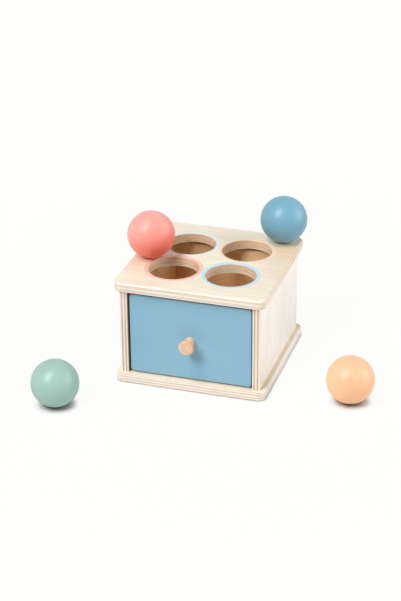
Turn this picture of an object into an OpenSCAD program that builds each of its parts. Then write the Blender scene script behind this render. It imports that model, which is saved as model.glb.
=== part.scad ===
// Object permanence box: a plywood case with four ball holes in its top, a painted
// drawer that catches the balls, and the four wooden balls that go with it.
// Millimetres. Origin at the middle of the base board's underside, +Z up, drawer towards -Y.

/* [Boards] */
// Width of the top board and of the base board
board_w = 152; // [146:1:170]
// Depth of the top board and of the base board
board_d = 152; // [146:1:170]
// Thickness of the top board and of the base board
board_t = 10; // [9:0.5:13]
// Radius of the boards' corners, seen from above
board_corner_r = 8; // [4:0.5:12]
// Radius of the round-over along the boards' edges
board_edge_r = 2; // [1:0.25:3]

/* [Case] */
// Clear height between the base board and the top board
case_h = 88.5; // [80:0.5:110]
// Thickness of a side panel
side_t = 8; // [7:0.5:10]
// Thickness of the back panel
back_t = 5; // [4:0.5:6]
// How far the boards stand out past a side panel
side_overhang = 5.25; // [4:0.25:8]
// How far the boards stand out in front of the side panels
front_overhang = 4; // [3:0.5:8]
// How far the boards stand out behind the side panels
back_overhang = 6.5; // [4:0.5:9]
// Radius of the side panels' upright edges
side_edge_r = 0.75; // [0.5:0.25:1.5]
// Width of the rebate in a side panel that the back panel lies in
rebate_w = 4; // [3:0.25:5]

/* [Balls and holes] */
// Diameter of a ball
ball_d = 47; // [45:0.5:50]
// How much wider a hole is than a ball
hole_play = 3; // [2:0.5:5]
// Wood left between neighbouring holes
hole_web = 8; // [5:0.5:9]
// Size of the small bevel at a hole's two rims
hole_bevel = 0.5; // [0.25:0.25:1]
// Coral ball: its centre in from the top board's left edge
coral_in_x = 18; // [14:0.5:19]
// Coral ball: its centre back from the top board's front edge
coral_in_y = 66; // [60:0.5:72]
// Blue ball: its centre in from the top board's right edge
blue_in_x = 18; // [14:0.5:22]
// Blue ball: its centre in from the top board's back edge
blue_in_y = 15; // [12:0.5:20]
// Mint ball: its centre out from the base board's left edge
mint_out_x = 39.5; // [30:0.5:60]
// Mint ball: its centre forward of the base board's front edge
mint_out_y = 59.5; // [30:0.5:80]
// Peach ball: its centre out from the base board's right edge
peach_out_x = 78.5; // [30:0.5:90]
// Peach ball: its centre back from the base board's front edge
peach_in_y = 27; // [0:0.5:70]

/* [Drawer] */
// Gap between the drawer and each side panel
drawer_side_gap = 1.1; // [0.8:0.1:3]
// How far the drawer lies to the right of the case's middle
drawer_shift = 0.3; // [-0.5:0.1:0.5]
// Gap under the drawer front
drawer_foot_gap = 1; // [0.6:0.1:3]
// Gap over the drawer front
drawer_head_gap = 3; // [2:0.1:6]
// Gap between the closed drawer and the back panel, which is its stop
drawer_back_gap = 0.3; // [0.2:0.1:2]
// How far the drawer front lies behind the side panels' front edges
drawer_recess = 1.7; // [0:0.1:3]
// Thickness of the drawer front
front_t = 8; // [7:0.5:10]
// Radius of the drawer front's corners, seen from the front
front_corner_r = 3.5; // [2:0.5:8]
// Radius of the round-over along the drawer front's edges
front_edge_r = 1.25; // [0.75:0.25:2]
// Depth of the rebate in the drawer front that a drawer side lies in
front_rebate = 4; // [3:0.25:5]
// Thickness of the drawer's side and back walls
wall_t = 6; // [6:0.5:8]
// How far the tops of the drawer's walls lie below the top of its front
wall_down = 0.6; // [0.4:0.1:50]
// Radius of the round-over along the upper outer edges of the drawer's sides
wall_edge_r = 2.75; // [1:0.25:2.75]
// Thickness of the drawer's bottom panel
bottom_t = 3; // [2:0.25:4]
// Height of the bottom panel over the lower edge of the walls
bottom_up = 4; // [3:0.25:6]
// Depth of the grooves that hold the bottom panel
groove_deep = 2.5; // [1.5:0.25:3]

/* [Knob] */
// Length of the knob, from the drawer front to its face
knob_l = 15; // [13:0.5:20]
// Diameter of the knob's head
knob_d = 15.5; // [13:0.5:18]
// Thickness of the knob's head
knob_head_t = 3.5; // [3.25:0.25:5]
// Radius of the rounded rim of the knob's head
knob_rim_r = 1.5; // [1:0.1:1.6]
// Diameter of the knob's neck
knob_neck_d = 10; // [8:0.5:11]
// Radius of the cove between neck and head
knob_cove_r = 5; // [4:0.5:6]
// How far the knob sits below the middle of the drawer front
knob_down = 0.9; // [0:0.1:10]

/* [Fasteners] */
// Diameter of a dowel
dowel_d = 5; // [4:0.5:6]
// Length of a dowel
dowel_l = 20; // [14:1:24]
// How much of a dowel is in the top board
dowel_in_top = 6.5; // [5:0.5:8]
// Diameter of a base screw's shank
screw_d = 3.5; // [3:0.25:4]
// Length of a base screw
screw_l = 28; // [22:1:35]
// Diameter of a base screw's head
screw_head_d = 7; // [6:0.25:8]
// Diameter of the knob screw's shank
knob_screw_d = 3; // [2.5:0.25:3.5]
// Length of the knob screw under its head
knob_screw_l = 19; // [16:0.5:21]
// Diameter of the knob screw's head
knob_screw_head_d = 6.5; // [5.5:0.25:8]
// Height of the knob screw's head
knob_screw_head_h = 2; // [1.5:0.25:2.5]
// Diameter of a panel pin
pin_d = 1.2; // [1:0.1:1.5]
// Length of a panel pin
pin_l = 16; // [12:1:20]
// Diameter of a panel pin's head
pin_head_d = 2.2; // [1.8:0.1:2.6]
// Thickness of a panel pin's head
pin_head_h = 0.6; // [0.4:0.1:0.8]

/* [Clearances] */
// Clearance all round a fastener in its hole and a panel in its groove
fit_gap = 0.1; // [0.05:0.05:0.2]
// Height at which the drawer runs over the base board, and a ball lies over the top board
rest_gap = 0.3; // [0.2:0.1:0.5]

/* [Hidden] */
$fn = 96;

// Every cut runs past its face by this much
overrun = 1;

// Colours
birch = [0.93, 0.84, 0.71];
edge_birch = [0.90, 0.80, 0.66];
inner_birch = [0.86, 0.72, 0.54];
knob_beech = [0.89, 0.72, 0.53];
steel = [0.70, 0.70, 0.72];
drawer_blue = [0.56, 0.74, 0.84];
coral = [0.96, 0.55, 0.51];
blue = [0.47, 0.68, 0.78];
mint = [0.62, 0.79, 0.72];
peach = [0.98, 0.81, 0.62];

// Case
top_z = board_t + case_h;
box_h = top_z + board_t;
case_front = -board_d / 2 + front_overhang;
case_back = board_d / 2 - back_overhang;
case_deep = case_back - case_front;
case_mid_y = (case_front + case_back) / 2;
side_x = board_w / 2 - side_overhang - side_t / 2;
inner_half_w = side_x - side_t / 2;
back_inner_y = case_back - back_t;

// Holes
hole_d = ball_d + hole_play;
hole_off = (hole_d + hole_web) / 2;

// Drawer
front_w = 2 * (inner_half_w - drawer_side_gap);
front_h = case_h - drawer_foot_gap - drawer_head_gap;
front_mid_z = board_t + drawer_foot_gap + front_h / 2;
front_face_y = case_front + drawer_recess;
knob_z = front_mid_z - knob_down;
front_back_y = front_face_y + front_t;
wall_x = front_w / 2 - wall_t / 2;
wall_z = board_t + rest_gap;
wall_h = front_mid_z + front_h / 2 - wall_down - wall_z;
wall_front_y = front_back_y - front_rebate;
wall_back_y = back_inner_y - drawer_back_gap;
inner_w = front_w - 2 * wall_t;
bottom_z = wall_z + bottom_up;
bottom_front_y = front_back_y - groove_deep;
bottom_back_y = wall_back_y - wall_t + groove_deep;

// Fasteners, spaced as shares of what they go into
dowel_shares = [-0.36, 0, 0.36];
screw_shares = [-0.36, 0, 0.36];
back_pin_shares = [0.15, 0.5, 0.85];
drawer_pin_shares = [0.3, 0.75];
screw_head_share = 0.33;
screw_tip_share = 0.9;
recess_wide_share = 0.14;
recess_long_share = 0.62;
recess_deep_share = 0.26;
screw_head_h = screw_head_share * screw_head_d;
screw_sink = 2 * fit_gap;

// The knob's cove runs a hair into its rounded rim, which leaves no sliver between the two arcs
cove_reach_share = 0.998;

// A section with four rounded corners, centred
module round_section(w, h, r) {
    square([w - 2 * r, h], center = true);
    square([w, h - 2 * r], center = true);
    for (x = [-1, 1], y = [-1, 1])
        translate([x * (w / 2 - r), y * (h / 2 - r)]) circle(r);
}

// The outer half of such a section, which turns about the board's corner
module corner_section(corner_r, t, edge_r) {
    translate([0, -t / 2]) square([corner_r - edge_r, t]);
    translate([0, edge_r - t / 2]) square([corner_r, t - 2 * edge_r]);
    for (y = [-1, 1])
        translate([corner_r - edge_r, y * (t / 2 - edge_r)]) circle(edge_r);
}

// A flat board with rounded corners and all its edges rounded over, centred
module board(w, d, t, corner_r, edge_r) {
    rotate([90, 0, 0])
        linear_extrude(d - 2 * corner_r, center = true) round_section(w, t, edge_r);
    rotate([90, 0, 90])
        linear_extrude(w - 2 * corner_r, center = true) round_section(d, t, edge_r);
    for (turn = [0 : 3]) {
        x = (turn == 0 || turn == 3) ? 1 : -1;
        y = (turn < 2) ? 1 : -1;
        translate([x * (w / 2 - corner_r), y * (d / 2 - corner_r), 0])
            rotate([0, 0, 90 * turn])
                rotate_extrude(angle = 90) corner_section(corner_r, t, edge_r);
    }
}

// Puts its child at each dowel, upright, at the joint between side panel and top board
module at_dowels(sides) {
    for (x = sides, share = dowel_shares)
        translate([x * side_x, case_mid_y + share * case_deep, top_z]) children();
}

// Puts its child at each base screw, upright, at the base board's underside
module at_screws(sides) {
    for (x = sides, share = screw_shares)
        translate([x * side_x, case_mid_y + share * case_deep, 0]) children();
}

// Puts its child at each pin of the back panel, pointing forward
module at_back_pins(sides) {
    for (x = sides, share = back_pin_shares)
        translate([x * (inner_half_w + rebate_w / 2), case_back, board_t + share * case_h])
            rotate([90, 0, 0]) children();
}

// Puts its child at each pin of one or both drawer sides, pointing inward
module at_drawer_pins(sides) {
    for (x = sides, share = drawer_pin_shares) {
        pin_ys = [front_back_y - front_rebate / 2, wall_back_y - wall_t / 2];
        for (y = pin_ys)
            translate([x * front_w / 2, y, wall_z + share * wall_h])
                rotate([0, -90 * x, 0]) children();
    }
}

// A panel pin that points up, its head at the bottom and sunk by the fit
module pin() {
    translate([0, 0, fit_gap]) cylinder(d = pin_head_d, h = pin_head_h);
    translate([0, 0, fit_gap]) cylinder(d = pin_d, h = pin_l - pin_d);
    translate([0, 0, fit_gap + pin_l - pin_d]) cylinder(d1 = pin_d, d2 = 0, h = pin_d);
}

// The hole that such a pin leaves, open at the bottom
module pin_hole() {
    translate([0, 0, -overrun])
        cylinder(d = pin_head_d + 2 * fit_gap, h = overrun + pin_head_h + 2 * fit_gap);
    cylinder(d = pin_d + 2 * fit_gap, h = pin_l + 2 * fit_gap);
}

// A cross recess cut down from z = 0, for a head of diameter d
module cross_recess(d) {
    for (turn = [0, 90])
        rotate([0, 0, turn])
            translate([-d * recess_long_share / 2, -d * recess_wide_share / 2, -d * recess_deep_share])
                cube([d * recess_long_share, d * recess_wide_share, d * recess_deep_share + overrun]);
}

// A countersunk screw that points up, its head sunk into the base board
module base_screw() {
    difference() {
        union() {
            translate([0, 0, screw_sink])
                cylinder(d1 = screw_head_d, d2 = screw_d, h = screw_head_h);
            translate([0, 0, screw_sink]) cylinder(d = screw_d, h = screw_l * screw_tip_share);
            translate([0, 0, screw_sink + screw_l * screw_tip_share])
                cylinder(d1 = screw_d, d2 = 0, h = screw_l * (1 - screw_tip_share));
        }
        translate([0, 0, screw_sink]) mirror([0, 0, 1]) cross_recess(screw_head_d);
    }
}

// The countersunk hole for it, through the base board and into a side panel
module screw_hole() {
    wide = screw_head_d + 2 * fit_gap;
    narrow = screw_d + 2 * fit_gap;
    translate([0, 0, -overrun]) cylinder(d = wide, h = overrun + screw_sink);
    translate([0, 0, screw_sink]) cylinder(d1 = wide, d2 = narrow, h = screw_head_h);
    cylinder(d = narrow, h = screw_sink + screw_l + fit_gap);
}

module base_board() {
    color(birch) difference() {
        translate([0, 0, board_t / 2])
            board(board_w, board_d, board_t, board_corner_r, board_edge_r);
        at_screws([-1, 1]) screw_hole();
    }
}

// One side panel, with its rebate for the back panel and the holes for its fasteners
module side_panel(side) {
    color(edge_birch) difference() {
        translate([side * side_x, case_mid_y, board_t])
            linear_extrude(case_h) round_section(side_t, case_deep, side_edge_r);
        translate([side * inner_half_w, back_inner_y, board_t - overrun])
            translate([side > 0 ? -overrun : -rebate_w, 0, 0])
                cube([rebate_w + overrun, back_t + overrun, case_h + 2 * overrun]);
        at_dowels([side]) dowel_hole();
        at_screws([side]) screw_hole();
        at_back_pins([side]) pin_hole();
    }
}

module left_side_panel() {
    side_panel(-1);
}

module right_side_panel() {
    side_panel(1);
}

module back_panel() {
    wide = 2 * (inner_half_w + rebate_w - fit_gap);
    color(inner_birch) difference() {
        translate([-wide / 2, back_inner_y + fit_gap, board_t])
            cube([wide, back_t - fit_gap, case_h]);
        at_back_pins([-1, 1]) pin_hole();
    }
}

module top_board() {
    color(birch) difference() {
        translate([0, 0, top_z + board_t / 2])
            board(board_w, board_d, board_t, board_corner_r, board_edge_r);
        for (x = [-1, 1], y = [-1, 1])
            translate([x * hole_off, y * hole_off, top_z]) ball_hole();
        at_dowels([-1, 1]) dowel_hole();
    }
}

// A ball hole through the top board, with a small bevel at each rim
module ball_hole() {
    translate([0, 0, -overrun]) cylinder(d = hole_d, h = board_t + 2 * overrun);
    for (end = [0, 1])
        translate([0, 0, end * board_t]) mirror([0, 0, 1 - end])
            translate([0, 0, -hole_bevel])
                cylinder(d1 = hole_d, d2 = hole_d + 2 * hole_bevel + 2 * overrun, h = hole_bevel + overrun);
}

module base_screws() {
    color(steel) at_screws([-1, 1]) base_screw();
}

// A dowel's hole, half in the side panel and half in the top board
module dowel_hole() {
    translate([0, 0, dowel_in_top - dowel_l - fit_gap])
        cylinder(d = dowel_d + 2 * fit_gap, h = dowel_l + 2 * fit_gap);
}

module top_dowels() {
    color(knob_beech) at_dowels([-1, 1])
        translate([0, 0, dowel_in_top - dowel_l]) cylinder(d = dowel_d, h = dowel_l);
}

module back_panel_pins() {
    color(steel) at_back_pins([-1, 1]) pin();
}

// Puts its child where the drawer lies between the side panels
module in_drawer() {
    translate([drawer_shift, 0, 0]) children();
}

// The groove for the drawer's bottom panel, cut out of the walls and the front
module bottom_groove() {
    wide = inner_w + 2 * groove_deep;
    translate([-wide / 2, bottom_front_y, bottom_z - fit_gap])
        cube([wide, bottom_back_y - bottom_front_y, bottom_t + 2 * fit_gap]);
}

module drawer_front() {
    color(drawer_blue) in_drawer() difference() {
        translate([0, front_face_y + front_t / 2, front_mid_z])
            rotate([90, 0, 0]) board(front_w, front_h, front_t, front_corner_r, front_edge_r);
        for (x = [-1, 1])
            translate([x > 0 ? wall_x - wall_t / 2 - fit_gap : -front_w / 2 - overrun, wall_front_y, 0])
                cube([wall_t + overrun + fit_gap, front_rebate + overrun, top_z]);
        bottom_groove();
        at_drawer_pins([-1, 1]) pin_hole();
        translate([0, front_face_y, knob_z]) knob_screw_hole();
    }
}

// A drawer side's section, seen from the front with its outer face towards +X. Its upper outer
// edge is rounded over to follow the front's corner.
module wall_section() {
    translate([-wall_t / 2, 0]) square([wall_t, wall_h - wall_edge_r]);
    translate([-wall_t / 2, 0]) square([wall_t - wall_edge_r, wall_h]);
    translate([wall_t / 2 - wall_edge_r, wall_h - wall_edge_r]) circle(wall_edge_r);
}

// One side wall of the drawer, from the rebate in the front to the back
module drawer_side(side) {
    color(inner_birch) in_drawer() difference() {
        translate([side * wall_x, wall_back_y, wall_z]) mirror([side > 0 ? 0 : 1, 0, 0])
            rotate([90, 0, 0]) linear_extrude(wall_back_y - wall_front_y - fit_gap) wall_section();
        bottom_groove();
        at_drawer_pins([side]) pin_hole();
    }
}

module drawer_left_side() {
    drawer_side(-1);
}

module drawer_right_side() {
    drawer_side(1);
}

module drawer_back() {
    color(inner_birch) in_drawer() difference() {
        translate([-inner_w / 2, wall_back_y - wall_t, wall_z]) cube([inner_w, wall_t, wall_h]);
        bottom_groove();
        at_drawer_pins([-1, 1]) pin_hole();
    }
}

module drawer_bottom() {
    wide = inner_w + 2 * (groove_deep - fit_gap);
    color(inner_birch) in_drawer() translate([-wide / 2, bottom_front_y + fit_gap, bottom_z])
        cube([wide, bottom_back_y - bottom_front_y - 2 * fit_gap, bottom_t]);
}

module drawer_pins() {
    color(steel) in_drawer() at_drawer_pins([-1, 1]) pin();
}

// Half of the turned knob's section: a neck that runs through a cove into a rounded head
module knob_section() {
    neck_r = knob_neck_d / 2;
    rim = [knob_d / 2 - knob_rim_r, knob_l - knob_head_t + knob_rim_r];
    cove_x = neck_r + knob_cove_r;
    reach = (knob_cove_r + knob_rim_r) * cove_reach_share;
    cove = [cove_x, rim.y - sqrt(pow(reach, 2) - pow(cove_x - rim.x, 2))];
    square([neck_r, rim.y]);
    difference() {
        polygon([[0, cove.y], cove, rim, [0, rim.y]]);
        translate(cove) circle(knob_cove_r);
    }
    translate([0, rim.y]) square([knob_d / 2, knob_head_t - 2 * knob_rim_r]);
    translate([0, rim.y]) square([rim.x, knob_l - rim.y]);
    for (h = [rim.y, knob_l - knob_rim_r])
        translate([rim.x, h]) circle(knob_rim_r);
}

// The knob screw's hole, through the drawer front and into the knob
module knob_screw_hole() {
    rotate([90, 0, 0]) translate([0, 0, -front_t - overrun])
        cylinder(d = knob_screw_d + 2 * fit_gap, h = knob_screw_l + overrun + fit_gap);
}

module drawer_knob() {
    color(knob_beech) in_drawer() translate([0, front_face_y, knob_z]) difference() {
        rotate([90, 0, 0]) rotate_extrude() knob_section();
        knob_screw_hole();
    }
}

module knob_screw() {
    shank = knob_screw_l * screw_tip_share;
    color(steel) in_drawer() translate([0, front_back_y, knob_z]) rotate([90, 0, 0]) difference() {
        union() {
            translate([0, 0, -knob_screw_head_h]) cylinder(d = knob_screw_head_d, h = knob_screw_head_h);
            translate([0, 0, -knob_screw_head_h]) cylinder(d = knob_screw_d, h = knob_screw_head_h + shank);
            translate([0, 0, shank]) cylinder(d1 = knob_screw_d, d2 = 0, h = knob_screw_l - shank);
        }
        translate([0, 0, -knob_screw_head_h]) mirror([0, 0, 1]) cross_recess(knob_screw_head_d);
    }
}

module ball_coral() {
    color(coral)
        translate([coral_in_x - board_w / 2, coral_in_y - board_d / 2, box_h + rest_gap + ball_d / 2])
            sphere(d = ball_d);
}

module ball_blue() {
    color(blue)
        translate([board_w / 2 - blue_in_x, board_d / 2 - blue_in_y, box_h + rest_gap + ball_d / 2])
            sphere(d = ball_d);
}

module ball_mint() {
    color(mint)
        translate([-board_w / 2 - mint_out_x, -board_d / 2 - mint_out_y, ball_d / 2])
            sphere(d = ball_d);
}

module ball_peach() {
    color(peach)
        translate([board_w / 2 + peach_out_x, peach_in_y - board_d / 2, ball_d / 2])
            sphere(d = ball_d);
}

base_board();
left_side_panel();
right_side_panel();
back_panel();
top_board();
base_screws();
top_dowels();
back_panel_pins();
drawer_front();
drawer_left_side();
drawer_right_side();
drawer_back();
drawer_bottom();
drawer_pins();
drawer_knob();
knob_screw();
ball_coral();
ball_blue();
ball_mint();
ball_peach();
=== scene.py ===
import math
import bpy
from mathutils import Matrix, Vector


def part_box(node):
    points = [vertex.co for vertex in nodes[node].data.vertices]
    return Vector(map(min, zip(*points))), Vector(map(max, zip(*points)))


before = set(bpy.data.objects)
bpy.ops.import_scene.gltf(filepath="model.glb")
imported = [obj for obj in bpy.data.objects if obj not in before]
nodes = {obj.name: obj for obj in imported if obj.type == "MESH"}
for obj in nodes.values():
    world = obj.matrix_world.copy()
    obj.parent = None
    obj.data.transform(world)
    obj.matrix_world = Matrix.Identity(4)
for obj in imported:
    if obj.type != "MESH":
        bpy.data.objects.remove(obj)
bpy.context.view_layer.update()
scene = bpy.context.scene
scene.view_settings.view_transform = "Standard"
bpy.ops.object.select_all(action="DESELECT")

# Camera
# It looks down on the box from the front and a little from the right, from about 1.7 m,
# through a long lens that keeps the edges nearly parallel.
camera_azimuth = math.radians(17.358)
camera_elevation = math.radians(26.892)
camera_roll = math.radians(-0.457)
camera_target = Vector((-0.00104, -0.03168, 0.078))
camera_distance = 1.7386
lens_mm = 106.53
film_width_mm = 36
farthest_seen = 20
towards_camera = Vector((
    math.sin(camera_azimuth) * math.cos(camera_elevation),
    -math.cos(camera_azimuth) * math.cos(camera_elevation),
    math.sin(camera_elevation)))
to_the_right = Vector((math.cos(camera_azimuth), math.sin(camera_azimuth), 0))
upwards = towards_camera.cross(to_the_right)
turn = Matrix((to_the_right, upwards, towards_camera)).transposed().to_4x4()
bpy.ops.object.camera_add()
camera = bpy.context.object
camera.name = "camera"
camera.matrix_world = (Matrix.Translation(camera_target + towards_camera * camera_distance)
                       @ turn @ Matrix.Rotation(camera_roll, 4, "Z"))
camera.data.sensor_width = film_width_mm
camera.data.lens = lens_mm
camera.data.clip_end = farthest_seen
scene.camera = camera


# Studio
# A seamless white floor under an even sky. One large soft lamp stands in front and to the left, a
# second hangs nearly overhead, and a third fills in from the right, so that no shadow is hard.
def add_node(tree, kind, inputs=None, **settings):
    new = tree.nodes.new("ShaderNode" + kind)
    for name, value in settings.items():
        setattr(new, name, value)
    for socket, value in (inputs or {}).items():
        if isinstance(value, bpy.types.NodeSocket):
            tree.links.new(value, new.inputs[socket])
        else:
            new.inputs[socket].default_value = value
    return new


def math_node(tree, operation, first, second=0.0, third=0.0, clamp=False):
    return add_node(tree, "Math", {0: first, 1: second, 2: third},
                    operation=operation, use_clamp=clamp).outputs[0]


def vector_node(tree, operation, first, second=(0, 0, 0)):
    gives_number = operation in ("LENGTH", "DISTANCE", "DOT_PRODUCT")
    return add_node(tree, "VectorMath", {0: first, 1: second},
                    operation=operation).outputs["Value" if gives_number else "Vector"]


def mix_colour(tree, share, first, second, blend="MIX"):
    return add_node(tree, "Mix", {0: share, 6: first, 7: second},
                    data_type="RGBA", blend_type=blend).outputs[2]


def blend_range(tree, value, low, high, to_low=0.0, to_high=1.0):
    return add_node(tree, "MapRange", {0: value, 1: low, 2: high, 3: to_low, 4: to_high},
                    interpolation_type="SMOOTHSTEP").outputs[0]


# The sky lights the box only a little. The camera and the reflections see it as a white background.
sky_strength = 0.15
sky_colour = (1.0, 0.985, 0.96, 1)
background_colour = (0.99, 0.99, 0.98, 1)
world = bpy.data.worlds.new("studio_sky")
scene.world = world
world.use_nodes = True
tree = world.node_tree
tree.nodes.clear()
rays = add_node(tree, "LightPath").outputs
mirror_rays = math_node(tree, "MAXIMUM", rays["Is Glossy Ray"], rays["Is Transmission Ray"])
seen_rays = math_node(tree, "MAXIMUM", rays["Is Camera Ray"], mirror_rays)
lit_sky = add_node(tree, "Background", {"Color": sky_colour, "Strength": sky_strength})
seen_sky = add_node(tree, "Background", {"Color": background_colour, "Strength": 1})
sky_mix = add_node(tree, "MixShader", {0: seen_rays, 1: lit_sky.outputs[0], 2: seen_sky.outputs[0]})
add_node(tree, "OutputWorld", {"Surface": sky_mix.outputs[0]})

box_middle = Vector((0, 0, 0.06))
lamp_distance = 6.0


# A round softbox that aims at the box. Its share is how bright it makes a white face turned to it.
def add_softbox(name, size, share, direction):
    away = Vector(direction).normalized()
    bpy.ops.object.light_add(type="AREA", location=box_middle + away * lamp_distance)
    lamp = bpy.context.object
    lamp.name = name
    lamp.data.shape = "DISK"
    lamp.data.size = size
    lamp.data.energy = share * (math.pi * lamp_distance) ** 2
    lamp.rotation_euler = away.to_track_quat("Z", "Y").to_euler()


add_softbox("front_lamp", size=2.3, share=0.60, direction=(-0.33, -0.64, 0.70))
add_softbox("top_lamp", size=1.5, share=0.30, direction=(-0.21, -0.36, 0.905))
add_softbox("side_lamp", size=5.6, share=0.69, direction=(0.85, 0.22, 0.30))


def new_material(name):
    material = bpy.data.materials.new(name)
    material.use_nodes = True
    material.node_tree.nodes.clear()
    return material, material.node_tree


# The camera sees the floor as an even white glow. Only close to what stands on it does the floor show
# the lamps' own light, so that the contact shadows are dark and the rest stays white. Where little sky
# reaches it, a dark colour is painted in as further contact shadow. A thin painted shadow line runs along
# the foot of the base board, and a faint shade lies round the whole box. Where little sky reaches the
# floor, its bounce colour is painted black as shade, so that it throws no light back up.
floor_size = 12
glow_colour = (1, 1, 0.985, 1)
lit_colour = (0.80, 0.80, 0.81, 1)
shadow_colour = (0.36, 0.29, 0.26, 1)
shadow_reach = 0.011
clear_of_board = (0.003, 0.010)
lit_when_covered = (0.16, 0.60)
shadow_when_covered = (0.55, 0.85)
# A painted shadow line along the foot of the base board.
foot_line_shadow_colour = (0.42, 0.35, 0.33, 1)
foot_line_shadow_width = 0.0012
foot_line_shadow_most = 0.6
line_width = 0.0017
line_most = 0.75
shade_full_at = 0.22
shade_none_at = 0.75
shade_most = 0.05
bounce_colour = (0.93, 0.88, 0.83, 1)
no_bounce_colour = (0, 0, 0, 1)
no_bounce_most = 0.8
no_bounce_when_covered = (0.35, 0.85)
base_corner_r = 0.008
bpy.ops.mesh.primitive_plane_add(size=floor_size)
floor = bpy.context.object
floor.name = "floor"
floor_paint, tree = new_material("white_floor")
spot = add_node(tree, "TexCoord").outputs["Object"]
low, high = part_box("base_board")
beyond = vector_node(tree, "ABSOLUTE", spot)
beyond = vector_node(tree, "SUBTRACT", beyond, (high.x - base_corner_r, high.y - base_corner_r, 0))
beyond = vector_node(tree, "MAXIMUM", beyond)
from_board = math_node(tree, "SUBTRACT", vector_node(tree, "LENGTH", beyond), base_corner_r)
open_sky = add_node(tree, "AmbientOcclusion", {"Distance": shadow_reach}, samples=8).outputs["AO"]
covered = math_node(tree, "MULTIPLY", math_node(tree, "SUBTRACT", 1.0, open_sky),
                    blend_range(tree, from_board, *clear_of_board))
from_middle = vector_node(tree, "LENGTH", spot)
share = blend_range(tree, from_middle, shade_none_at, shade_full_at, 0.0, shade_most)
share = math_node(tree, "MAXIMUM", share, blend_range(tree, covered, *lit_when_covered))
share = math_node(tree, "MAXIMUM", share, blend_range(tree, from_board, line_width, 0.0, 0.0, line_most))
# Painted contact shadow where the floor is covered.
in_shadow = blend_range(tree, covered, *shadow_when_covered)
seen_colour = mix_colour(tree, in_shadow, lit_colour, shadow_colour)
# Painted shadow line along the foot of the base board.
in_foot_line_shadow = blend_range(tree, from_board, foot_line_shadow_width, 0.0, 0.0, foot_line_shadow_most)
seen_colour = mix_colour(tree, in_foot_line_shadow, seen_colour, foot_line_shadow_colour)
# Painted shade in the light that the floor bounces back up.
painted_bounce_shade = blend_range(tree, covered, *no_bounce_when_covered, 0.0, no_bounce_most)
bounced_colour = mix_colour(tree, painted_bounce_shade, bounce_colour, no_bounce_colour)
matt = add_node(tree, "BsdfDiffuse", {"Color": seen_colour})
bouncing = add_node(tree, "BsdfDiffuse", {"Color": bounced_colour})
glow = add_node(tree, "Emission", {"Color": glow_colour, "Strength": 1})
seen = add_node(tree, "MixShader", {0: share, 1: glow.outputs[0], 2: matt.outputs[0]})
is_seen = add_node(tree, "LightPath").outputs["Is Camera Ray"]
white_floor = add_node(tree, "MixShader", {0: is_seen, 1: bouncing.outputs[0], 2: seen.outputs[0]})
add_node(tree, "OutputMaterial", {"Surface": white_floor.outputs[0]})
floor.data.materials.append(floor_paint)


# Base board
# A 10 mm birch plywood board of seven plies, with rounded corners and all edges rounded over, sanded
# and lacquered. Its face grain runs from front to back. It is countersunk from beneath.
def new_group(name, wants, gives):
    group = bpy.data.node_groups.new(name, "ShaderNodeTree")
    for label, kind, value in wants:
        socket = group.interface.new_socket(label, in_out="INPUT", socket_type="NodeSocket" + kind)
        if value is not None:
            socket.default_value = value
    for label, kind in gives:
        group.interface.new_socket(label, in_out="OUTPUT", socket_type="NodeSocket" + kind)
    return group, group.nodes.new("NodeGroupInput").outputs, group.nodes.new("NodeGroupOutput").inputs


# Noise with so many repeats to the metre along each axis, so that it can be drawn out along the fibres.
def stretched_noise(tree, space, repeats, detail, roughness, distortion=0.0):
    return add_node(tree, "TexNoise", {
        "Vector": vector_node(tree, "MULTIPLY", space, repeats), "Scale": 1.0, "Detail": detail,
        "Roughness": roughness, "Distortion": distortion}).outputs["Fac"]


def tinted(tree, colour, tint):
    return mix_colour(tree, 1.0, colour, tint, "MULTIPLY")


# Plywood as it is made: plies that cross each other, so that every cut edge shows long grain and end
# grain in turn. X runs along the face grain, Y across it and Z through the board from one face.
growth_repeats = (3.5, 26.0, 26.0)
growth_rings = 60.0
cloud_repeats = (9.0, 30.0, 30.0)
fibre_repeats = (22.0, 900.0, 900.0)
pore_repeats = (420.0, 5200.0, 5200.0)
shift_each_ply = 1.37
grain_tint = (0.80, 0.71, 0.58, 1)
fibre_tone = 0.30
growth_tone = 0.16
cloud_tone = 0.22
pore_tone = 0.5
glue_tint = (0.55, 0.44, 0.33, 1)
glue_half_width = 0.09
fibre_relief = 0.5
pore_relief = -0.6
glue_relief = -0.5
end_relief = -0.35
plain_roughness = 0.34
fibre_roughness = 0.16
end_roughness = 0.14
plywood, given, taken = new_group("plywood", [
    ("Vector", "Vector", None), ("Normal", "Vector", None), ("Thickness", "Float", 0.010),
    ("Plies", "Float", 7.0), ("Face", "Color", None), ("Edge", "Color", None),
    ("End Grain", "Color", None), ("Grain Contrast", "Float", 1.0), ("Glue Share", "Float", 0.75),
    ("Seed", "Float", 0.0)],
    [("Color", "Color"), ("Roughness", "Float"), ("Height", "Float"), ("Glue", "Float")])
place = add_node(plywood, "SeparateXYZ", {0: given["Vector"]}).outputs
slope = add_node(plywood, "SeparateXYZ", {0: given["Normal"]}).outputs
depth = math_node(plywood, "DIVIDE", place["Z"], given["Thickness"])
depth = math_node(plywood, "MULTIPLY", depth, given["Plies"])
last_ply = math_node(plywood, "SUBTRACT", given["Plies"], 1.0)
ply = math_node(plywood, "MAXIMUM", math_node(plywood, "FLOOR", depth), 0.0)
ply = math_node(plywood, "MINIMUM", ply, last_ply)
is_cross = math_node(plywood, "MODULO", ply, 2.0)
crossed = add_node(plywood, "CombineXYZ", {0: place["Y"], 1: place["X"], 2: place["Z"]})
along = add_node(plywood, "Mix", {0: is_cross, 4: given["Vector"], 5: crossed.outputs[0]},
                 data_type="VECTOR").outputs[1]
ply_shift = math_node(plywood, "MULTIPLY_ADD", ply, shift_each_ply, given["Seed"])
shift = add_node(plywood, "CombineXYZ", {0: ply_shift, 1: ply_shift, 2: 0.0})
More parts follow.
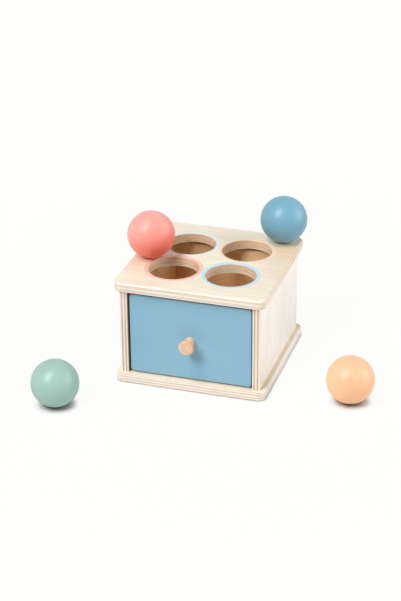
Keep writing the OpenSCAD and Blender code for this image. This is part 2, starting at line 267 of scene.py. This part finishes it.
fibre_space = vector_node(plywood, "ADD", along, shift.outputs[0])
growth = stretched_noise(plywood, fibre_space, growth_repeats, 2.0, 0.5, 0.4)
growth_lines = math_node(plywood, "SINE", math_node(plywood, "MULTIPLY", growth, growth_rings))
growth_lines = blend_range(plywood, growth_lines, -1.0, 1.0)
fibres = stretched_noise(plywood, fibre_space, fibre_repeats, 4.0, 0.62)
clouds = stretched_noise(plywood, fibre_space, cloud_repeats, 2.0, 0.5)
pores = stretched_noise(plywood, fibre_space, pore_repeats, 1.0, 0.5)
pores = blend_range(plywood, pores, 0.66, 0.76)
end_x = math_node(plywood, "ABSOLUTE", slope["X"])
end_y = math_node(plywood, "ABSOLUTE", slope["Y"])
end_grain = add_node(plywood, "Mix", {0: is_cross, 2: end_x, 3: end_y}, data_type="FLOAT").outputs[0]
end_grain = blend_range(plywood, end_grain, 0.15, 0.85)
from_far_face = math_node(plywood, "SUBTRACT", given["Plies"], depth)
inside = math_node(plywood, "MULTIPLY", blend_range(plywood, depth, 0.4, 0.6),
                   blend_range(plywood, from_far_face, 0.4, 0.6))
glue = math_node(plywood, "PINGPONG", depth, 0.5)
glue = blend_range(plywood, glue, 0.0, glue_half_width, 1.0, 0.0)
glue = math_node(plywood, "MULTIPLY", glue, inside)
on_face = blend_range(plywood, math_node(plywood, "ABSOLUTE", slope["Z"]), 0.35, 0.9)
wood = mix_colour(plywood, on_face, given["Edge"], given["Face"])
wood = mix_colour(plywood, end_grain, wood, given["End Grain"])
grain = math_node(plywood, "MULTIPLY_ADD", blend_range(plywood, fibres, 0.3, 0.75), fibre_tone,
                  math_node(plywood, "MULTIPLY", growth_lines, growth_tone))
grain = math_node(plywood, "MULTIPLY_ADD", blend_range(plywood, clouds, 0.3, 0.7), cloud_tone, grain)
grain = math_node(plywood, "MULTIPLY_ADD", pores, pore_tone, grain)
grain = math_node(plywood, "MULTIPLY", grain, given["Grain Contrast"], clamp=True)
wood = mix_colour(plywood, grain, wood, tinted(plywood, wood, grain_tint))
glued = math_node(plywood, "MULTIPLY", glue, given["Glue Share"])
wood = mix_colour(plywood, glued, wood, tinted(plywood, wood, glue_tint))
rough = math_node(plywood, "MULTIPLY_ADD", fibres, fibre_roughness, plain_roughness)
rough = math_node(plywood, "MULTIPLY_ADD", end_grain, end_roughness, rough)
relief = math_node(plywood, "MULTIPLY_ADD", fibres, fibre_relief,
                   math_node(plywood, "MULTIPLY", pores, pore_relief))
relief = math_node(plywood, "MULTIPLY_ADD", glue, glue_relief, relief)
relief = math_node(plywood, "MULTIPLY_ADD", end_grain, end_relief, relief)
plywood.links.new(wood, taken["Color"])
plywood.links.new(rough, taken["Roughness"])
plywood.links.new(relief, taken["Height"])
plywood.links.new(glue, taken["Glue"])


# A board is turned and raised so that its face grain runs along X and one face lies at a height of 0.
# Its colours are those of its face, and of the long grain and the end grain in its edges.
def plywood_material(name, thickness, plies, colours, turned, raised, contrast, seed, glue_share=0.75):
    face, edge, end_grain = colours
    material, tree = new_material(name)
    coordinates = add_node(tree, "TexCoord").outputs
    place = add_node(tree, "Mapping", {0: coordinates["Object"], 1: (0.0, 0.0, raised), 2: turned})
    slope = add_node(tree, "Mapping", {0: coordinates["Normal"], 2: turned}, vector_type="VECTOR")
    sheet = add_node(tree, "Group", {
        "Vector": place.outputs[0], "Normal": slope.outputs[0], "Thickness": thickness, "Plies": plies,
        "Face": face, "Edge": edge, "End Grain": end_grain, "Grain Contrast": contrast,
        "Glue Share": glue_share, "Seed": seed}, node_tree=plywood)
    bump = add_node(tree, "Bump", {"Height": sheet.outputs["Height"], "Strength": 0.5, "Distance": 0.00006})
    lacquer = add_node(tree, "BsdfPrincipled", {
        "Base Color": sheet.outputs["Color"], "Roughness": sheet.outputs["Roughness"], "IOR": 1.45,
        "Normal": bump.outputs[0]})
    add_node(tree, "OutputMaterial", {"Surface": lacquer.outputs[0]})
    return material, sheet.outputs, lacquer.inputs["Base Color"]


def dress(node, material):
    piece = nodes[node]
    piece.data.materials.clear()
    piece.data.materials.append(material)


x_axis, y_axis, z_axis = range(3)


def place_along(tree, axis):
    return add_node(tree, "SeparateXYZ", {0: add_node(tree, "TexCoord").outputs["Object"]}).outputs[axis]


def facing_along(tree, axis):
    return add_node(tree, "SeparateXYZ", {0: add_node(tree, "TexCoord").outputs["Normal"]}).outputs[axis]


low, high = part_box("base_board")
base_colours = ((0.99, 0.845, 0.655, 1), (0.98, 0.945, 0.89, 1), (0.80, 0.68, 0.56, 1))
front_to_back = (0.0, 0.0, math.radians(90))
base_ply, birch, shown = plywood_material(
    "base_plywood", high.z - low.z, plies=7.0, colours=base_colours, turned=front_to_back,
    raised=-low.z, contrast=0.7, seed=3.0, glue_share=0.45)
# The left and right edges are coloured paler than the front and back ones, partly as paler end grain and
# partly as a painted highlight, and one darker ply shows there as a fine line.
pale_lit_edge_colour = (0.99, 0.97, 0.95, 1)
pale_lit_edge_most = 0.85
glue_still_seen = 0.6
dark_ply_colour = (0.55, 0.43, 0.38, 1)
dark_ply_most = 0.75
dark_ply_height = 0.0036
dark_ply_half_width = (0.0002, 0.0008)
tree = base_ply.node_tree
side_edge = math_node(tree, "ABSOLUTE", facing_along(tree, x_axis))
side_edge = blend_range(tree, side_edge, 0.3, 0.8, 0.0, pale_lit_edge_most)
not_glue = math_node(tree, "MULTIPLY_ADD", birch["Glue"], -glue_still_seen, 1.0)
pale_lit_share = math_node(tree, "MULTIPLY", side_edge, not_glue)
colour = mix_colour(tree, pale_lit_share, birch["Color"], pale_lit_edge_colour)
from_dark_ply = math_node(tree, "SUBTRACT", place_along(tree, z_axis), dark_ply_height)
from_dark_ply = math_node(tree, "ABSOLUTE", from_dark_ply)
fine_line = blend_range(tree, from_dark_ply, *dark_ply_half_width, dark_ply_most, 0.0)
fine_line = math_node(tree, "MULTIPLY", fine_line, side_edge)
tree.links.new(mix_colour(tree, fine_line, colour, dark_ply_colour), shown)
dress("base_board", base_ply)

# Side panels
# Two 8 mm birch plywood panels of five plies, glued and screwed to the base board, with upright face
# grain under a faint darker veil. Their inner faces are painted darker near the front, as gap shade.
panel_colours = ((0.985, 0.965, 0.93, 1), (0.98, 0.94, 0.88, 1), (0.68, 0.53, 0.40, 1))
upright = (0.0, math.radians(90), 0.0)
veil_repeats = (30.0, 40.0, 15.0)
veil_tint = (0.92, 0.87, 0.84, 1)
gap_shade_tint = (0.42, 0.30, 0.22, 1)
gap_shade_from_front = (0.006, 0.030)
for node, seed in (("left_side_panel", 11.0), ("right_side_panel", 17.0)):
    low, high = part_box(node)
    panel_ply, birch, shown = plywood_material(
        node + "_plywood", high.x - low.x, plies=5.0, colours=panel_colours, turned=upright,
        raised=high.x, contrast=0.35, seed=seed)
    tree = panel_ply.node_tree
    spot = add_node(tree, "TexCoord").outputs["Object"]
    veil = stretched_noise(tree, spot, veil_repeats, 4.0, 0.55, 0.5)
    veil = blend_range(tree, veil, 0.42, 0.64, 0.0, 0.5)
    colour = mix_colour(tree, veil, birch["Color"], tinted(tree, birch["Color"], veil_tint))
    inwards = -1.0 if high.x > 0 else 1.0
    inner = math_node(tree, "MULTIPLY", facing_along(tree, x_axis), inwards)
    inner = blend_range(tree, inner, 0.3, 0.8)
    # Painted shade in the gap beside the drawer front.
    near_front = math_node(tree, "SUBTRACT", place_along(tree, y_axis), low.y)
    near_front = blend_range(tree, near_front, *gap_shade_from_front, 1.0, 0.0)
    gap_shade = math_node(tree, "MULTIPLY", inner, near_front)
    colour = mix_colour(tree, gap_shade, colour, tinted(tree, birch["Color"], gap_shade_tint))
    tree.links.new(colour, shown)
    dress(node, panel_ply)

# Back panel
# A 5 mm birch plywood panel in the rebates of the sides, sanded and left bare, a little darker than the
# lacquered boards. Its grain runs from left to right. Six panel pins hold it.
low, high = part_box("back_panel")
standing = (math.radians(90), 0.0, 0.0)
back_colours = ((0.92, 0.76, 0.56, 1), (0.96, 0.84, 0.68, 1), (0.70, 0.50, 0.33, 1))
back_ply, _, _ = plywood_material(
    "back_plywood", high.y - low.y, plies=3.0, colours=back_colours, turned=standing,
    raised=-low.y, contrast=1.1, seed=23.0)
dress("back_panel", back_ply)

# Top board
# A 10 mm board as wide and deep as the base, of five plies, with four 50 mm holes for the balls. A narrow
# ring is painted round each hole. Six hidden dowels hold the board on the side panels.
low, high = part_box("top_board")
top_plies = 5.0
unturned = (0.0, 0.0, 0.0)
top_colours = ((0.95, 0.875, 0.745, 1), (0.98, 0.94, 0.88, 1), (0.86, 0.75, 0.63, 1))
top_ply, birch, shown = plywood_material(
    "top_plywood", high.z - low.z, plies=top_plies, colours=top_colours, turned=unturned,
    raised=-low.z, contrast=0.8, seed=9.0)
# Three warmer, darker patches with wavy edges are painted on the face, as shade and warm bounce light
# near the balls. For each: x, y, how wide it fades, how strong it is.
warm_shade_patches = ((0.064, 0.040, 0.040, 0.9), (-0.066, -0.030, 0.036, 0.5), (0.070, -0.004, 0.030, 0.35))
warm_shade_tint = (0.94, 0.755, 0.59, 1)
warm_shade_core = 0.012
wave_repeats = (18.0, 60.0, 18.0)
wave_most = 0.03
tree = top_ply.node_tree
spot = add_node(tree, "TexCoord").outputs["Object"]
warm_shade = tinted(tree, birch["Color"], warm_shade_tint)
waves = stretched_noise(tree, spot, wave_repeats, 3.0, 0.6)
colour = birch["Color"]
for x, y, fade, strength in warm_shade_patches:
    distance = vector_node(tree, "DISTANCE", spot, (x, y, high.z))
    distance = math_node(tree, "MULTIPLY_ADD", waves, wave_most, distance)
    shade_patch = blend_range(tree, distance, warm_shade_core, warm_shade_core + fade, strength, 0.0)
    colour = mix_colour(tree, shade_patch, colour, warm_shade)
# The hole walls are painted warmer and darker than the faces, as shade inside the holes, and paler in the
# lower plies. The lowest ply is painted palest, as a highlight line. Dark glue lines show between the
# plies, fainter high up, and they come and go round the hole.
shaded_wall_colour = (0.98, 0.70, 0.44, 1)
shaded_low_wall_colour = (0.99, 0.77, 0.52, 1)
lowest_ply_highlight_colour = (0.99, 0.85, 0.65, 1)
glue_line_colour = (0.42, 0.22, 0.11, 1)
glue_line_repeats = (90.0, 90.0, 260.0)
glue_line_half_width = (0.05, 0.20)
ply_up = math_node(tree, "SUBTRACT", place_along(tree, z_axis), low.z)
ply_up = math_node(tree, "DIVIDE", ply_up, (high.z - low.z) / top_plies)
broken = stretched_noise(tree, spot, glue_line_repeats, 2.0, 0.5)
lines = math_node(tree, "PINGPONG", ply_up, 0.5)
lines = blend_range(tree, lines, *glue_line_half_width, 1.0, 0.0)
lines = math_node(tree, "MULTIPLY", lines, blend_range(tree, broken, 0.35, 0.6, 0.45, 1.0))
lines = math_node(tree, "MULTIPLY", lines, blend_range(tree, ply_up, 0.4, 0.6))
lines = math_node(tree, "MULTIPLY", lines, blend_range(tree, ply_up, 2.1, 3.2, 1.0, 0.28))
low_plies = blend_range(tree, ply_up, 1.7, 3.1, 1.0, 0.0)
lowest_ply_highlight = blend_range(tree, ply_up, 0.9, 1.1, 1.0, 0.0)
wall_tone = mix_colour(tree, low_plies, shaded_wall_colour, shaded_low_wall_colour)
wall_tone = mix_colour(tree, lowest_ply_highlight, wall_tone, lowest_ply_highlight_colour)
wall_tone = mix_colour(tree, lines, wall_tone, glue_line_colour)
# One group masks a painted ring, which bleeds a little into the grain, and the wall of its hole.
hole_r = 0.025
hole_off = 0.029
ring_r = 0.0288
ring_cover = 0.93
wall_cover = 0.85
ring_edge = (-0.00005, 0.0003)
bleed_repeats = (900.0, 2600.0, 900.0)
bleed_most = 0.0004
top_skin = (0.0003, 0.0006)
wall_skin = (0.0006, 0.0009)
rings = (
    ("coral_ring", -hole_off, -hole_off, (0.95, 0.55, 0.47, 1)),
    ("blue_ring", hole_off, -hole_off, (0.48, 0.79, 0.94, 1)),
    ("mint_ring", -hole_off, hole_off, (0.76, 0.90, 0.94, 1)),
    ("peach_ring", hole_off, hole_off, (0.96, 0.75, 0.58, 1)))
ring, given, taken = new_group("painted_ring", [
    ("Vector", "Vector", None), ("Middle", "Vector", None), ("Radius", "Float", ring_r),
    ("Bore", "Float", hole_r), ("Top", "Float", 0.0)], [("Mask", "Float"), ("Wall", "Float")])
level = vector_node(ring, "MULTIPLY", given["Vector"], (1, 1, 0))
reach = vector_node(ring, "DISTANCE", level, given["Middle"])
bleed = stretched_noise(ring, given["Vector"], bleed_repeats, 2.0, 0.6)
edge = math_node(ring, "MULTIPLY_ADD", bleed, bleed_most, reach)
edge = math_node(ring, "SUBTRACT", edge, given["Radius"])
mask = blend_range(ring, edge, *ring_edge, 1.0, 0.0)
height = add_node(ring, "SeparateXYZ", {0: given["Vector"]}).outputs["Z"]
below_top = math_node(ring, "SUBTRACT", given["Top"], height)
on_top = blend_range(ring, below_top, *top_skin, 1.0, 0.0)
into_wood = math_node(ring, "SUBTRACT", reach, given["Bore"])
wall = math_node(ring, "MULTIPLY", blend_range(ring, into_wood, *wall_skin, 1.0, 0.0),
                 math_node(ring, "SUBTRACT", 1.0, on_top))
ring.links.new(math_node(ring, "MULTIPLY", mask, on_top), taken["Mask"])
ring.links.new(wall, taken["Wall"])
for name, x, y, paint in rings:
    stroke = add_node(tree, "Group", {
        "Vector": spot, "Middle": (x, y, 0), "Radius": ring_r, "Bore": hole_r, "Top": high.z},
        node_tree=ring, name=name).outputs
    colour = mix_colour(tree, math_node(tree, "MULTIPLY", stroke["Mask"], ring_cover), colour, paint)
    colour = mix_colour(tree, math_node(tree, "MULTIPLY", stroke["Wall"], wall_cover), colour, wall_tone)
tree.links.new(colour, shown)
dress("top_board", top_ply)

# Drawer front
# An 8 mm plywood front with rounded corners and softened edges, sprayed with satin light blue paint.
# The grain shows through the paint only as a faint texture.
peel_repeats = (1500.0, 1500.0, 1500.0)
thin_repeats = (30.0, 30.0, 30.0)
thin_tint = (0.93, 0.95, 0.96, 1)
# The axis of the painted light and shade on the balls. It leans up and to the left, towards the lamps.
shade_to_light_axis = Vector((-0.42, 0.0, 0.907))
glow_radius = (1.0, 0.15, 0.10)
glow_scale = 0.03


# Satin paint over wood. Glow is how much light comes back from within it. Where a tint is given for the
# shaded side, the colour below the span is painted darker with it as shade, and plain above the span. The
# span is measured along the axis that leans up towards the lamps.
def painted_material(name, paint, roughness, grain_repeats, turned=unturned, glow=0.0, shade_tint=None,
                     span=None):
    material, tree = new_material(name)
    spot = add_node(tree, "TexCoord").outputs["Object"]
    place = add_node(tree, "Mapping", {0: spot, 2: turned}).outputs[0]
    grain = stretched_noise(tree, place, grain_repeats, 3.0, 0.6)
    peel = stretched_noise(tree, place, peel_repeats, 2.0, 0.5)
    thinness = stretched_noise(tree, place, thin_repeats, 2.0, 0.5)
    thin = tinted(tree, paint, thin_tint)
    colour = mix_colour(tree, blend_range(tree, thinness, 0.3, 0.7, 0.0, 0.5), paint, thin)
    colour = mix_colour(tree, blend_range(tree, grain, 0.35, 0.75, 0.0, 0.25), colour, thin)
    if shade_tint:
        height = vector_node(tree, "DOT_PRODUCT", spot, shade_to_light_axis)
        painted_shade = blend_range(tree, height, *span, 1.0, 0.0)
        colour = mix_colour(tree, painted_shade, colour, tinted(tree, colour, shade_tint))
    relief = math_node(tree, "MULTIPLY_ADD", grain, 0.5, math_node(tree, "MULTIPLY", peel, 0.35))
    bump = add_node(tree, "Bump", {"Height": relief, "Strength": 0.35, "Distance": 0.00005})
    satin = add_node(tree, "BsdfPrincipled", {
        "Base Color": colour, "Roughness": math_node(tree, "MULTIPLY_ADD", peel, 0.1, roughness - 0.05),
        "IOR": 1.48, "Normal": bump.outputs[0], "Subsurface Weight": glow,
        "Subsurface Radius": glow_radius, "Subsurface Scale": glow_scale})
    add_node(tree, "OutputMaterial", {"Surface": satin.outputs[0]})
    return material, colour, satin.inputs["Base Color"]


front_paint = (0.255, 0.488, 0.652, 1)
front_roughness = 0.42
front_grain_repeats = (25.0, 700.0, 700.0)
# The rounded edges are painted darker, as shade in the gaps round the front.
front_edge_shade_tint = (0.42, 0.42, 0.44, 1)
drawer_paint, colour, shown = painted_material(
    "drawer_paint", front_paint, front_roughness, front_grain_repeats)
tree = drawer_paint.node_tree
edge_shade = math_node(tree, "ABSOLUTE", facing_along(tree, y_axis))
edge_shade = blend_range(tree, edge_shade, 0.35, 0.85, 1.0, 0.0)
tree.links.new(mix_colour(tree, edge_shade, colour, tinted(tree, colour, front_edge_shade_tint)), shown)
dress("drawer_front", drawer_paint)

# Drawer walls and bottom
# Two 6 mm plywood sides in the rebates of the front, a 6 mm back between them and a 3 mm bottom in
# grooves, all sanded and bare. The inner faces are painted darker and more orange than the outer ones,
# as shade inside the drawer, and darker still low down.
bare_colours = ((0.98, 0.72, 0.45, 1), (0.97, 0.80, 0.60, 1), (0.74, 0.51, 0.32, 1))
low_down_tint = (0.98, 0.82, 0.70, 1)
low_down_up_to = (0.058, 0.080)
pale_wood = (0.97, 0.88, 0.74, 1)
pale_most = 0.55
bottom_paleness = 0.8
on_edge = (0.0, math.radians(90), math.radians(90))
drawer_low, drawer_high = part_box("drawer_bottom")
drawer_middle = (drawer_low + drawer_high) / 2
for node, axis, turned, seed in (
        ("drawer_left_side", x_axis, on_edge, 31.0), ("drawer_right_side", x_axis, on_edge, 37.0),
        ("drawer_back", y_axis, standing, 41.0), ("drawer_bottom", z_axis, front_to_back, 43.0)):
    low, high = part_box(node)
    raised = high.x if axis == x_axis else -low[axis]
    wall_ply, birch, shown = plywood_material(
        node + "_plywood", (high - low)[axis], plies=3.0, colours=bare_colours, turned=turned,
        raised=raised, contrast=1.3, seed=seed)
    tree = wall_ply.node_tree
    colour = birch["Color"]
    if axis == z_axis:
        paleness = bottom_paleness
    else:
        low_down = blend_range(tree, place_along(tree, z_axis), *low_down_up_to, 1.0, 0.0)
        colour = mix_colour(tree, low_down, colour, tinted(tree, colour, low_down_tint))
        outwards = -1.0 if ((low + high) / 2 - drawer_middle)[axis] < 0 else 1.0
        paleness = math_node(tree, "MULTIPLY", facing_along(tree, axis), outwards)
        paleness = blend_range(tree, paleness, 0.4, 0.9)
    paler = mix_colour(tree, pale_most, birch["Color"], pale_wood)
    tree.links.new(mix_colour(tree, paleness, colour, paler), shown)
    dress(node, wall_ply)

# Knob
# A small mushroom knob turned from beech, with its grain along its length, coloured darker and more
# orange towards the rim, and lacquered. It is screwed on from inside. The hidden dowels are cut from
# plain beech rod.
early_wood = (0.84, 0.60, 0.40, 1)
late_wood = (0.72, 0.45, 0.26, 1)
late_wood_most = 0.45
streak_colour = (0.74, 0.44, 0.24, 1)
fleck_colour = (0.58, 0.31, 0.16, 1)
mottle_colour = (0.96, 0.76, 0.56, 1)
turned_side_colour = (0.97, 0.64, 0.42, 1)
rim_tint = (0.98, 0.70, 0.42, 1)
heart_place = (0.016, 0.0, -0.011)
ring_waves = 4200.0
year_wander = 0.0022
wander_repeats = (160.0, 160.0, 30.0)
streak_repeats = (1300.0, 1300.0, 90.0)
fleck_repeats = (900.0, 2600.0, 420.0)
mottle_repeats = (260.0, 260.0, 120.0)


# The piece is round about a line through middle that runs from front to back. The year rings are circles
# round the heart of the branch, which lies outside the piece. The rim is the radius towards which the wood
# is coloured darker and more orange.
def beech_material(name, middle, grain_turn, rim=None):
    material, tree = new_material(name)
    spot = add_node(tree, "TexCoord").outputs["Object"]
    place = add_node(tree, "Mapping", {0: spot, 2: grain_turn}).outputs[0]
    across = vector_node(tree, "MULTIPLY", vector_node(tree, "SUBTRACT", spot, middle), (1, 0, 1))
    from_heart = vector_node(tree, "DISTANCE", across, heart_place)
    wander = stretched_noise(tree, place, wander_repeats, 2.0, 0.5)
    year = math_node(tree, "MULTIPLY_ADD", wander, year_wander, from_heart)
    year = math_node(tree, "SINE", math_node(tree, "MULTIPLY", year, ring_waves))
    year = math_node(tree, "MULTIPLY", blend_range(tree, year, -0.6, 1.0), late_wood_most)
    streaks = stretched_noise(tree, place, streak_repeats, 3.0, 0.6)
    flecks = blend_range(tree, stretched_noise(tree, place, fleck_repeats, 1.0, 0.5), 0.58, 0.68)
    mottle = stretched_noise(tree, place, mottle_repeats, 2.0, 0.5)
    colour = mix_colour(tree, year, early_wood, late_wood)
    colour = mix_colour(tree, blend_range(tree, streaks, 0.35, 0.75, 0.0, 0.5), colour, streak_colour)
    colour = mix_colour(tree, math_node(tree, "MULTIPLY", flecks, 0.5), colour, fleck_colour)
    colour = mix_colour(tree, blend_range(tree, mottle, 0.5, 0.75, 0.0, 0.4), colour, mottle_colour)
    # The turned sides are lighter and more orange than the end grain of the face, partly as their long
    # grain and partly as painted light.
    on_side = math_node(tree, "ABSOLUTE", facing_along(tree, y_axis))
    on_side = blend_range(tree, on_side, 0.3, 0.7, 0.6, 0.0)
    colour = mix_colour(tree, on_side, colour, turned_side_colour)
    if rim:
        at_rim = math_node(tree, "DIVIDE", vector_node(tree, "LENGTH", across), rim)
        at_rim = blend_range(tree, at_rim, 0.86, 0.98, 0.0, 0.7)
        colour = mix_colour(tree, at_rim, colour, tinted(tree, colour, rim_tint))
    relief = math_node(tree, "MULTIPLY_ADD", streaks, 0.6, math_node(tree, "MULTIPLY", flecks, -0.4))
    bump = add_node(tree, "Bump", {"Height": relief, "Strength": 0.4, "Distance": 0.00006})
    lacquer = add_node(tree, "BsdfPrincipled", {
        "Base Color": colour, "Roughness": blend_range(tree, streaks, 0.3, 0.8, 0.34, 0.50), "IOR": 1.45,
        "Normal": bump.outputs[0]})
    add_node(tree, "OutputMaterial", {"Surface": lacquer.outputs[0]})
    return material


low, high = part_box("drawer_knob")
knob_middle = ((low.x + high.x) / 2, 0.0, (low.z + high.z) / 2)
knob_rim = (high.x - low.x) / 2
dress("drawer_knob", beech_material("knob_beech", knob_middle, standing, knob_rim))
dress("top_dowels", beech_material("dowel_beech", (0.0, 0.0, 0.0), unturned))

# Screws and pins
# Zinc-plated steel. Six screws come up through the base board into the side panels, and one holds the
# knob. Panel pins hold the back panel and the corners of the drawer.
dull_zinc = (0.55, 0.56, 0.58, 1)
bright_zinc = (0.72, 0.72, 0.73, 1)
zinc_repeats = (4000.0, 4000.0, 900.0)
zinc, tree = new_material("zinc_steel")
drawn = stretched_noise(tree, add_node(tree, "TexCoord").outputs["Object"], zinc_repeats, 3.0, 0.6)
metal = add_node(tree, "BsdfPrincipled", {
    "Base Color": mix_colour(tree, drawn, dull_zinc, bright_zinc), "Metallic": 1.0,
    "Roughness": blend_range(tree, drawn, 0.2, 0.8, 0.25, 0.45)})
add_node(tree, "OutputMaterial", {"Surface": metal.outputs[0]})
for node in ("base_screws", "back_panel_pins", "drawer_pins", "knob_screw"):
    dress(node, zinc)

# Balls
# Turned wooden balls, dipped in satin paint. Each is painted paler on its upper left side, towards the
# lamps, and fuller and darker towards its lower right, as painted light and shade, most of all on the
# coral ball.
ball_roughness = 0.37
ball_grain_repeats = (40.0, 400.0, 400.0)
ball_turn = math.radians(25)
span_share = 0.8
for node, paint, lean, glow, shade_tint in (
        ("ball_coral", (0.97, 0.42, 0.36, 1), 15, 0.8, (1.0, 0.50, 0.42, 1)),
        ("ball_blue", (0.185, 0.415, 0.55, 1), 5, 0.0, None),
        ("ball_mint", (0.36, 0.56, 0.49, 1), 40, 0.0, (0.92, 0.97, 1.0, 1)),
        ("ball_peach", (0.97, 0.60, 0.36, 1), 20, 0.6, (1.0, 0.96, 0.96, 1))):
    low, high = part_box(node)
    half_span = span_share * (high.z - low.z) / 2
    middle = shade_to_light_axis.dot((low + high) / 2)
    ball_paint, _, _ = painted_material(
        node + "_paint", paint, ball_roughness, ball_grain_repeats,
        (0.0, math.radians(lean), ball_turn), glow, shade_tint, (middle - half_span, middle + half_span))
    dress(node, ball_paint)
